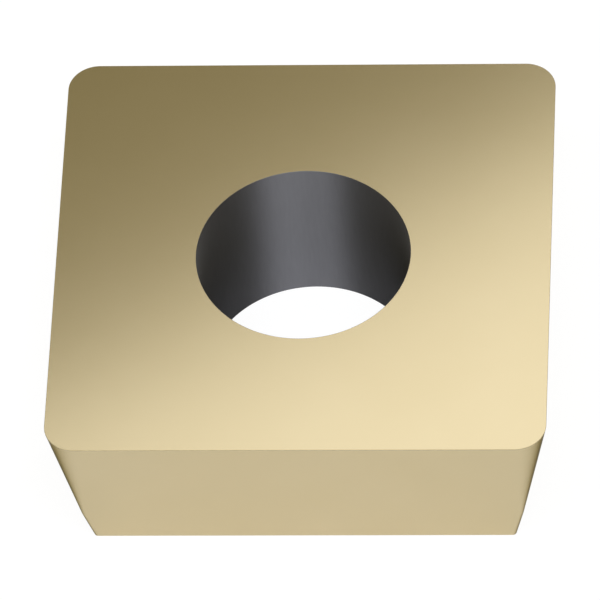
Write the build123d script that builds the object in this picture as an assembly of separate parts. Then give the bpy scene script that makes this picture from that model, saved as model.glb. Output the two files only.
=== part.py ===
"""Square indexable carbide cutting insert, clamped by a screw or pin through its middle.

The real insert is pressed and sintered as one piece, so the model is one solid. Its top is flat,
with no chip breaker, and has a cutting edge all round. The four flanks lean in under that edge by
the relief angle, so the insert cuts on its top edges only and seats on the smaller square below.
Each corner is a cone that narrows as the flanks close in. It runs out where it reaches the
smallest radius that the pressing die holds, and keeps that radius from there down to the seat.
The hole is plain, with one diameter all the way through.

Frame: the origin is the middle of the hole on the seat, +Z points up to the cutting face, and X
and Y are square to the flanks. Lengths are in millimetres and angles in degrees.
"""

from build123d import *
from math import radians, tan
import os

# Body
inscribed_circle = 12.70
thickness = 4.76
relief_angle = 11.0

# Corners, at the cutting edge and at the seat
corner_radius = 0.80
foot_corner_radius = 0.10

# Hole for the clamping screw or pin
hole_diameter = 5.50

# Edge finish
edge_hone = 0.01
hole_rim_round = 0.01

# The two signs of each corner, going round
CORNERS = ((1, 1), (-1, 1), (-1, -1), (1, -1))


def flank_lean(height):
    """How far a flank leans in over a height."""
    return height * tan(radians(relief_angle))


def run_out_depth():
    """Depth below the cutting face at which the corner cones reach the foot radius."""
    radius_to_lose = corner_radius - foot_corner_radius
    return min(radius_to_lose / flank_lean(1), thickness)


def outline(depth):
    """Rounded square section at a depth below the cutting face."""
    side = inscribed_circle - 2 * flank_lean(depth)
    radius = corner_radius - flank_lean(min(depth, run_out_depth()))
    return Pos(0, 0, thickness - depth) * RectangleRounded(side, side, radius)


def coned_body():
    """From the cutting face down to the run-out, with corners that narrow as cones."""
    prism = extrude(outline(0), amount=-run_out_depth())
    sides = prism.faces().filter_by(Axis.Z, reverse=True)
    cutting_plane = Plane.XY.offset(thickness)
    return draft(sides, cutting_plane, -relief_angle)


def foot():
    """From the run-out down to the seat, with corners that keep the foot radius.

    The section slid down along each leaning corner gives four slanted prisms. What they have in
    common leans in on all four sides, and its corners still have the section's own radius.
    """
    height = thickness - run_out_depth()
    lean = flank_lean(height)
    slides = [Vector(-sx * lean, -sy * lean, -height) for sx, sy in CORNERS]
    prisms = [extrude(outline(run_out_depth()), slide.length, slide) for slide in slides]
    return prisms[0] & prisms[1] & prisms[2] & prisms[3]


def blank():
    """The pressed blank before its hole: the coned body, with a foot where one is left over."""
    if run_out_depth() < thickness:
        return coned_body() + foot()
    return coned_body()


def clamping_hole():
    return Pos(0, 0, thickness / 2) * Cylinder(hole_diameter / 2, thickness)


def insert_body():
    body = blank() - clamping_hole()
    cutting_edge = body.faces().sort_by(Axis.Z)[-1].outer_wire().edges()
    body = fillet(cutting_edge, edge_hone)
    hole_wall = body.faces().filter_by(GeomType.CYLINDER).sort_by(SortBy.AREA)[-1]
    hole_rims = hole_wall.edges().filter_by(GeomType.CIRCLE)
    return fillet(hole_rims, hole_rim_round)


os.makedirs("parts", exist_ok=True)
export_step(insert_body(), "parts/insert_body.step")
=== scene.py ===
"""Looks of a square carbide cutting insert: gold-coated outside, bare dark carbide in its hole."""

import math

import bmesh
import bpy
from mathutils import Matrix, Quaternion, Vector


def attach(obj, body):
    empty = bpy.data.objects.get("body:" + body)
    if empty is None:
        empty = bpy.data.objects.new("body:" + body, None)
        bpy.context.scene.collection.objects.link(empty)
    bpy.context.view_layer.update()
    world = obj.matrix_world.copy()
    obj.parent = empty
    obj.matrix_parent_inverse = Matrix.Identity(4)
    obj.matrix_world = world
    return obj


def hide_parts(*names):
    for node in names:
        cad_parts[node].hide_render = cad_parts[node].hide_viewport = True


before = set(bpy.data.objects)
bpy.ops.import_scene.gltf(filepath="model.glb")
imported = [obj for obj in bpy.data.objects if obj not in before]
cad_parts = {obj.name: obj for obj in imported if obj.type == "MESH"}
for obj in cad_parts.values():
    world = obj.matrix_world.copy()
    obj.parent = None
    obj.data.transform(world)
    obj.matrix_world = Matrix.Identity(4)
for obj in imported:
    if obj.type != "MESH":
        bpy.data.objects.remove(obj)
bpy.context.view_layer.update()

MM = 0.001
QUARTER_TURN = math.pi / 2

# Sizes of the insert in millimetres, as in the frame, and its relief angle in degrees
INSCRIBED_CIRCLE = 12.70
THICKNESS = 4.76
RELIEF_ANGLE = 11.0
CORNER_RADIUS = 0.80
FOOT_CORNER_RADIUS = 0.10
HOLE_RADIUS = 2.75
EDGE_HONE = 0.01
HOLE_RIM_ROUND = 0.01

# What follows from the sizes: LEAN is how far a flank leans in over each millimetre of height, and
# RUN_OUT_DEPTH is where the coned corners end, below the cutting face
HALF_SIDE = INSCRIBED_CIRCLE / 2
RELIEF = math.radians(RELIEF_ANGLE)
LEAN = math.tan(RELIEF)
RUN_OUT_DEPTH = (CORNER_RADIUS - FOOT_CORNER_RADIUS) / LEAN

# The two signs of each corner, going round
CORNERS = ((1, 1), (-1, 1), (-1, -1), (1, -1))

# Fineness of the mesh. Points that agree to MERGE_DIGITS decimals share a vertex
CORNER_STEPS = 28
FLAT_STEPS = 12
HONE_STEPS = 3
CONE_STEPS = 14
FOOT_STEPS = 6
FACE_STEPS = 4
RIM_STEPS = 6
BORE_STEPS = 12
RING_COUNT = len(CORNERS) * (CORNER_STEPS + FLAT_STEPS)
MERGE_DIGITS = 6

# Places of the two materials in the insert's list
GOLD = 0
CARBIDE = 1

# Grain of both materials. A noise's scale counts its cells in a metre, and the depth is in metres
GRAIN_DETAIL = 4
GRAIN_DEPTH = 0.000002

# Gold coating. Its faint patches go from one tone to the other between two values of their noise
GOLD_PATCH_SCALE = 350
GOLD_PATCH_DETAIL = 3
GOLD_TONES = ((0.3, (0.858, 0.740, 0.500, 1)), (0.7, (0.874, 0.756, 0.518, 1)))
GOLD_GRAIN_SCALE = 45000
GOLD_GRAIN_BUMP = 0.08
GOLD_LEAST_ROUGH = 0.17
GOLD_MOST_ROUGH = 0.19
GOLD_GRAZING_TINT = (0.2, 0.18, 0.12, 1)

# Bare carbide. Its grain and its gloss are both drawn out along the hole
CARBIDE_GRAIN_SCALE = 14000
CARBIDE_GRAIN_STRETCH = (1, 1, 0.12)
CARBIDE_TONES = ((0, (0.192, 0.190, 0.200, 1)), (1, (0.222, 0.220, 0.230, 1)))
CARBIDE_GRAIN_BUMP = 0.15
CARBIDE_ROUGHNESS = 0.64
CARBIDE_GLOSS_STRETCH = 1.0
CARBIDE_GLOSS_TURN = 0.25
CARBIDE_GRAZING_TINT = (0.2, 0.2, 0.2, 1)

# Camera: lens and sensor in millimetres, the rest in metres
LENS = 530.007
SENSOR_WIDTH = 36
CLIP_START = 0.01
CLIP_END = 10
CAMERA_PLACE = (0.01517947, -0.14191880, 0.18020309)
CAMERA_RIGHT = (0.99771148, 0.03914179, -0.05513375)
CAMERA_UP = (0.00388272, 0.78089356, 0.62465204)
CAMERA_BACK = (0.06750359, -0.62343657, 0.77895449)

# Room. Its heights are those of a direction, from 0 for level to 1 for straight up
BACKDROP_COLOUR = (1, 1, 1, 1)
WALL_COLOUR = (0.52, 0.51, 0.49, 1)
WALL_TOP = 0.3
CEILING_COLOUR = (0.15, 0.124, 0.036, 1)
CEILING_START = 0.55

# Floor: its width in metres, its own colour, the strength that makes it white for the camera, and
# how much of what the camera sees there is the lit floor, which holds the shadow
FLOOR_SIZE = 1.2
FLOOR_COLOUR = (0.85, 0.85, 0.85, 1)
FLOOR_WHITE = 1.06
FLOOR_SHADOW_SHARE = 0.12

# How much of the white backdrop and floor shows in metal
ROOM_GLOSS_SHARE = 0.08
FLOOR_GLOSS_SHARE = 0.1

# Front lamps: what they aim at, their colour, brightness and height
MIDDLE = (0, 0, THICKNESS)
DAYLIGHT = (0.97, 1.0, 1.07)
FRONT_BRIGHTNESS = 15.4
FRONT_HEIGHT = 36


class Ring:
    """A closed row of points round the insert, with the surface's normal at each."""

    def __init__(self, points, normals):
        self.points = points
        self.normals = normals


def spaced(start, end, steps):
    """Evenly spaced values from start to end, with both."""
    return [start + (end - start) * step / steps for step in range(steps + 1)]


def level(turn):
    """Level direction, turned round the hole's axis from +X."""
    return Vector((math.cos(turn), math.sin(turn), 0))


def tilted(across, outward, upward):
    """Normal that points outward, along a level direction, and upward by these parts."""
    return Vector((across.x * outward, across.y * outward, upward)).normalized()


def outline_ring(height, half_side, radius, upward=None):
    """A rounded square at one height: four corner arcs joined by straight runs.

    upward is the upward part of the normals, where it is the same all round. Without it they are
    the normals of the foot, whose corners are slanted prisms that slide in along both flanks.
    """
    centre = half_side - radius
    points, normals = [], []
    for index, (sign_x, sign_y) in enumerate(CORNERS):
        start = index * QUARTER_TURN
        corner = Vector((sign_x * centre, sign_y * centre, height))
        for step in range(CORNER_STEPS + 1):
            across = level(start + QUARTER_TURN * step / CORNER_STEPS)
            points.append(corner + across * radius)
            if upward is None:
                normals.append(tilted(across, 1, -LEAN * (abs(across.x) + abs(across.y))))
            else:
                normals.append(tilted(across, math.sqrt(1 - upward ** 2), upward))
        arc_end, flat_normal = points[-1], normals[-1]
        along = level(start + 2 * QUARTER_TURN)
        for step in range(1, FLAT_STEPS):
            points.append(arc_end + along * (2 * centre * step / FLAT_STEPS))
            normals.append(flat_normal)
    return Ring(points, normals)


def grown_ring(height, growth, upward):
    """The cutting face's outline at another height, moved outward by growth."""
    return outline_ring(height, HALF_SIDE + growth, CORNER_RADIUS + growth, upward)


def hole_ring(height, radius, outward, upward):
    """A circle round the hole's axis; outward is negative where the surface faces the axis.

    Its points lie opposite an outline's: the middle of the first corner is an eighth of a turn on.
    """
    points, normals = [], []
    for index in range(RING_COUNT):
        turn = 2 * math.pi * (index - CORNER_STEPS / 2) / RING_COUNT + math.pi / 4
        across = level(turn)
        points.append(Vector((0, 0, height)) + across * radius)
        normals.append(tilted(across, outward, upward))
    return Ring(points, normals)


def hone_rings():
    """Round of the cutting edge, from the cutting face to the flank."""
    centre_out = -EDGE_HONE * (1 + math.sin(RELIEF)) / math.cos(RELIEF)
    rings = []
    for angle in spaced(QUARTER_TURN, -RELIEF, HONE_STEPS):
        height = THICKNESS - EDGE_HONE + EDGE_HONE * math.sin(angle)
        growth = centre_out + EDGE_HONE * math.cos(angle)
        rings.append(grown_ring(height, growth, math.sin(angle)))
    return rings


def facet_rings(upper, lower):
    """A narrow flat between two rings, with one normal across it."""
    normals = [(a + b).normalized() for a, b in zip(upper.normals, lower.normals)]
    return [Ring(upper.points, normals), Ring(lower.points, normals)]


def flank_rings(top_depth):
    """Flanks and corners below the hone: cones down to the run-out."""
    depths = spaced(top_depth, RUN_OUT_DEPTH, CONE_STEPS)
    return [grown_ring(THICKNESS - depth, -depth * LEAN, -math.sin(RELIEF)) for depth in depths]


def foot_rings():
    """Flanks and corners from the run-out to the seat."""
    depths = spaced(RUN_OUT_DEPTH, THICKNESS, FOOT_STEPS)
    return [outline_ring(THICKNESS - depth, HALF_SIDE - depth * LEAN, FOOT_CORNER_RADIUS)
            for depth in depths]


def face_rings(outer, inner, upward):
    """Flat face between an outline and a hole."""
    normals = [Vector((0, 0, upward))] * RING_COUNT
    rings = []
    for share in spaced(0, 1, FACE_STEPS):
        points = [a.lerp(b, share) for a, b in zip(outer.points, inner.points)]
        rings.append(Ring(points, normals))
    return rings


def rim_rings(face_height, upward):
    """Round of a hole rim, from a flat face to the hole's wall; upward is -1 for the lower face."""
    rings = []
    for angle in spaced(0, QUARTER_TURN, RIM_STEPS):
        height = face_height - upward * HOLE_RIM_ROUND * (1 - math.cos(angle))
        radius = HOLE_RADIUS + HOLE_RIM_ROUND * (1 - math.sin(angle))
        rings.append(hole_ring(height, radius, -math.sin(angle), upward * math.cos(angle)))
    return rings


def bore_rings():
    """Wall of the hole between its two rims."""
    heights = spaced(THICKNESS - HOLE_RIM_ROUND, HOLE_RIM_ROUND, BORE_STEPS)
    return [hole_ring(height, HOLE_RADIUS, -1, 0) for height in heights]


def surface_strips():
    """The whole surface as strips: their rings, their material, and whether their faces flip.

    The hone is drawn in narrow flats, because as a smooth round it shows a bright line.
    """
    hone = hone_rings()
    foot = foot_rings()
    top_rim = rim_rings(THICKNESS, 1)
    low_rim = rim_rings(0, -1)
    facets = [(facet_rings(upper, lower), GOLD, False) for upper, lower in zip(hone, hone[1:])]
    return facets + [
        (flank_rings(THICKNESS - hone[-1].points[0].z), GOLD, False),
        (foot, GOLD, False),
        (face_rings(foot[-1], low_rim[0], -1), GOLD, False),
        (face_rings(hone[0], top_rim[0], 1), GOLD, True),
        (top_rim, CARBIDE, True),
        (low_rim, CARBIDE, False),
        (bore_rings(), CARBIDE, True),
    ]


def build_insert():
    """One closed mesh, with its exact normals."""
    bm = bmesh.new()
    made = {}

    def vert(point):
        """The vertex at a point, shared by the strips that meet there."""
        key = tuple(round(value, MERGE_DIGITS) for value in point)
        if key not in made:
            made[key] = bm.verts.new(point * MM)
        return made[key]

    normals = []
    for rings, material, flip in surface_strips():
        for a, b in zip(rings, rings[1:]):
            for i in range(RING_COUNT):
                j = (i + 1) % RING_COUNT
                corners = [(a, i), (b, i), (b, j), (a, j)]
                if flip:
                    corners.reverse()
                face = bm.faces.new([vert(ring.points[k]) for ring, k in corners])
                face.smooth = True
                face.material_index = material
                normals += [ring.normals[k] for ring, k in corners]

    mesh = bpy.data.meshes.new("coated_insert")
    bm.to_mesh(mesh)
    bm.free()
    mesh.normals_split_custom_set(normals)
    piece = bpy.data.objects.new("coated_insert", mesh)
    bpy.context.scene.collection.objects.link(piece)
    return piece


def plug(tree, node, inputs):
    """Links each input of a node to another node's output, or sets it to a value."""
    for name, value in inputs.items():
        if isinstance(value, bpy.types.NodeSocket):
            tree.links.new(value, node.inputs[name])
        else:
            node.inputs[name].default_value = value


def add(tree, kind, inputs, **settings):
    """A new node, with its inputs and settings."""
    node = tree.nodes.new(kind)
    for name, value in settings.items():
        setattr(node, name, value)
    plug(tree, node, inputs)
    return node


def noise(tree, place, scale, detail):
    """Value of a noise at each place."""
    inputs = {"Vector": place, "Scale": scale, "Detail": detail}
    return add(tree, "ShaderNodeTexNoise", inputs).outputs["Fac"]


def ramp(tree, value, stops):
    """Colour that goes from the first stop's to the second's as the value passes theirs."""
    node = add(tree, "ShaderNodeValToRGB", {"Fac": value})
    for element, (position, colour) in zip(node.color_ramp.elements, stops):
        element.position = position
        element.color = colour
    return node.outputs["Color"]


def bump(tree, height, strength):
    """Normal tilted by a grain of this height and strength."""
    inputs = {"Height": height, "Strength": strength, "Distance": GRAIN_DEPTH}
    return add(tree, "ShaderNodeBump", inputs).outputs["Normal"]


def maths(tree, operation, first, second):
    """Result of an operation on two values."""
    return add(tree, "ShaderNodeMath", {0: first, 1: second}, operation=operation).outputs[0]


def mix(tree, share, first, second):
    """Shader that goes from the first to the second as share goes from 0 to 1."""
    return add(tree, "ShaderNodeMixShader", {"Fac": share, 1: first, 2: second}).outputs[0]


def principled(name):
    """A new material, its node tree and its shader."""
    material = bpy.data.materials.new(name)
    material.use_nodes = True
    return material, material.node_tree, material.node_tree.nodes["Principled BSDF"]


def gold_coating():
    """Pale gold hard coating on pressed carbide: satin, with a very fine grain."""
    material, tree, shader = principled("gold_coating")
    place = add(tree, "ShaderNodeTexCoord", {}).outputs["Object"]
    patches = noise(tree, place, GOLD_PATCH_SCALE, GOLD_PATCH_DETAIL)
    grain = noise(tree, place, GOLD_GRAIN_SCALE, GRAIN_DETAIL)
    rough = add(tree, "ShaderNodeMapRange",
                {"Value": grain, "To Min": GOLD_LEAST_ROUGH, "To Max": GOLD_MOST_ROUGH})
    plug(tree, shader, {
        "Base Color": ramp(tree, patches, GOLD_TONES),
        "Metallic": 1.0,
        "Roughness": rough.outputs["Result"],
        "Normal": bump(tree, grain, GOLD_GRAIN_BUMP),
        "Specular Tint": GOLD_GRAZING_TINT,
    })
    return material


def bare_carbide():
    """Sintered carbide without coating: dark grey, its grain drawn out by the pressing pin."""
    material, tree, shader = principled("bare_carbide")
    place = add(tree, "ShaderNodeTexCoord", {}).outputs["Object"]
    stretch = add(tree, "ShaderNodeMapping", {"Vector": place, "Scale": CARBIDE_GRAIN_STRETCH})
    grain = noise(tree, stretch.outputs["Vector"], CARBIDE_GRAIN_SCALE, GRAIN_DETAIL)
    tangent = add(tree, "ShaderNodeTangent", {}, direction_type="RADIAL", axis="Z")
    plug(tree, shader, {
        "Base Color": ramp(tree, grain, CARBIDE_TONES),
        "Metallic": 1.0,
        "Roughness": CARBIDE_ROUGHNESS,
        "Anisotropic": CARBIDE_GLOSS_STRETCH,
        "Anisotropic Rotation": CARBIDE_GLOSS_TURN,
        "Tangent": tangent.outputs["Tangent"],
        "Normal": bump(tree, grain, CARBIDE_GRAIN_BUMP),
        "Specular Tint": CARBIDE_GRAZING_TINT,
    })
    return material


def camera():
    """The photograph's camera."""
    data = bpy.data.cameras.new("camera")
    data.lens = LENS
    data.sensor_width = SENSOR_WIDTH
    data.clip_start = CLIP_START
    data.clip_end = CLIP_END
    cam = bpy.data.objects.new("camera", data)
    turn = Matrix((CAMERA_RIGHT, CAMERA_UP, CAMERA_BACK)).transposed().to_4x4()
    cam.matrix_world = Matrix.Translation(CAMERA_PLACE) @ turn
    bpy.context.scene.collection.objects.link(cam)
    bpy.context.scene.camera = cam


def softbox(name, place, target, width, height, brightness, turn=0, colour=(1, 1, 1)):
    """A rectangular lamp, in millimetres, that would look white at a brightness of 1.

    turn is in radians, about the line from the lamp to its target.
    """
    data = bpy.data.lights.new(name, "AREA")
    data.shape = "RECTANGLE"
    data.size = width * MM
    data.size_y = height * MM
    data.energy = brightness * math.pi * data.size * data.size_y
    data.color = colour
    lamp = bpy.data.objects.new(name, data)
    lamp.location = Vector(place) * MM
    aim = (Vector(target) - Vector(place)).to_track_quat("-Z", "Y")
    lamp.rotation_mode = "QUATERNION"
    lamp.rotation_quaternion = aim @ Quaternion((0, 0, 1), turn)
    lamp.visible_camera = False
    bpy.context.scene.collection.objects.link(lamp)


def seen_as(tree, seen, lit, gloss_share):
    """Shader that is seen for the camera, also through glass, and lit for the light that it gives.

    gloss_share is how much of seen shows in metal.
    """
    path = add(tree, "ShaderNodeLightPath", {}).outputs
    direct = maths(tree, "MAXIMUM", path["Is Camera Ray"], path["Is Transmission Ray"])
    mirrored = maths(tree, "MULTIPLY", path["Is Glossy Ray"], gloss_share)
    return mix(tree, maths(tree, "MAXIMUM", direct, mirrored), lit, seen)


def empty_tree(owner):
    """The node tree of a world or material, with nothing in it."""
    owner.use_nodes = True
    owner.node_tree.nodes.clear()
    return owner.node_tree


def room():
    """White backdrop, pale walls and a dim warm ceiling."""
    world = bpy.data.worlds.new("room")
    bpy.context.scene.world = world
    tree = empty_tree(world)
    outward = add(tree, "ShaderNodeTexCoord", {}).outputs["Generated"]
    height = add(tree, "ShaderNodeSeparateXYZ", {"Vector": outward}).outputs["Z"]
    colour = ramp(tree, height, ((WALL_TOP, WALL_COLOUR), (CEILING_START, CEILING_COLOUR)))
    lit = add(tree, "ShaderNodeBackground", {"Color": colour}).outputs[0]
    seen = add(tree, "ShaderNodeBackground", {"Color": BACKDROP_COLOUR}).outputs[0]
    add(tree, "ShaderNodeOutputWorld", {"Surface": seen_as(tree, seen, lit, ROOM_GLOSS_SHARE)})


def pale_floor():
    """Pale floor, white for the camera, with a faint shadow."""
    bpy.ops.mesh.primitive_plane_add(size=FLOOR_SIZE)
    floor = bpy.context.object
    floor.name = "floor"
    material = bpy.data.materials.new("floor")
    tree = empty_tree(material)
    lit = add(tree, "ShaderNodeBsdfDiffuse", {"Color": FLOOR_COLOUR}).outputs[0]
    white = add(tree, "ShaderNodeEmission", {"Strength": FLOOR_WHITE}).outputs[0]
    seen = mix(tree, FLOOR_SHADOW_SHARE, white, lit)
    add(tree, "ShaderNodeOutputMaterial", {"Surface": seen_as(tree, seen, lit, FLOOR_GLOSS_SHARE)})
    floor.data.materials.append(material)


camera()
room()
pale_floor()
softbox("overhead_softbox", place=(3.6, 30.0, 60.7), target=(-8.6, 26.0, 5.3),
        width=34.0, height=56.8, brightness=0.86, turn=0.1)
softbox("left_softbox", place=(-35.7, -63.9, 158.2), target=MIDDLE,
        width=45, height=FRONT_HEIGHT, brightness=FRONT_BRIGHTNESS, colour=DAYLIGHT)
softbox("right_softbox", place=(30.6, -66.5, 158.2), target=MIDDLE,
        width=76, height=FRONT_HEIGHT, brightness=FRONT_BRIGHTNESS, colour=DAYLIGHT)

insert = build_insert()
insert.data.materials.append(gold_coating())
insert.data.materials.append(bare_carbide())
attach(insert, "root")
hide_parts("insert_body")

bpy.context.scene.view_settings.view_transform = "Standard"
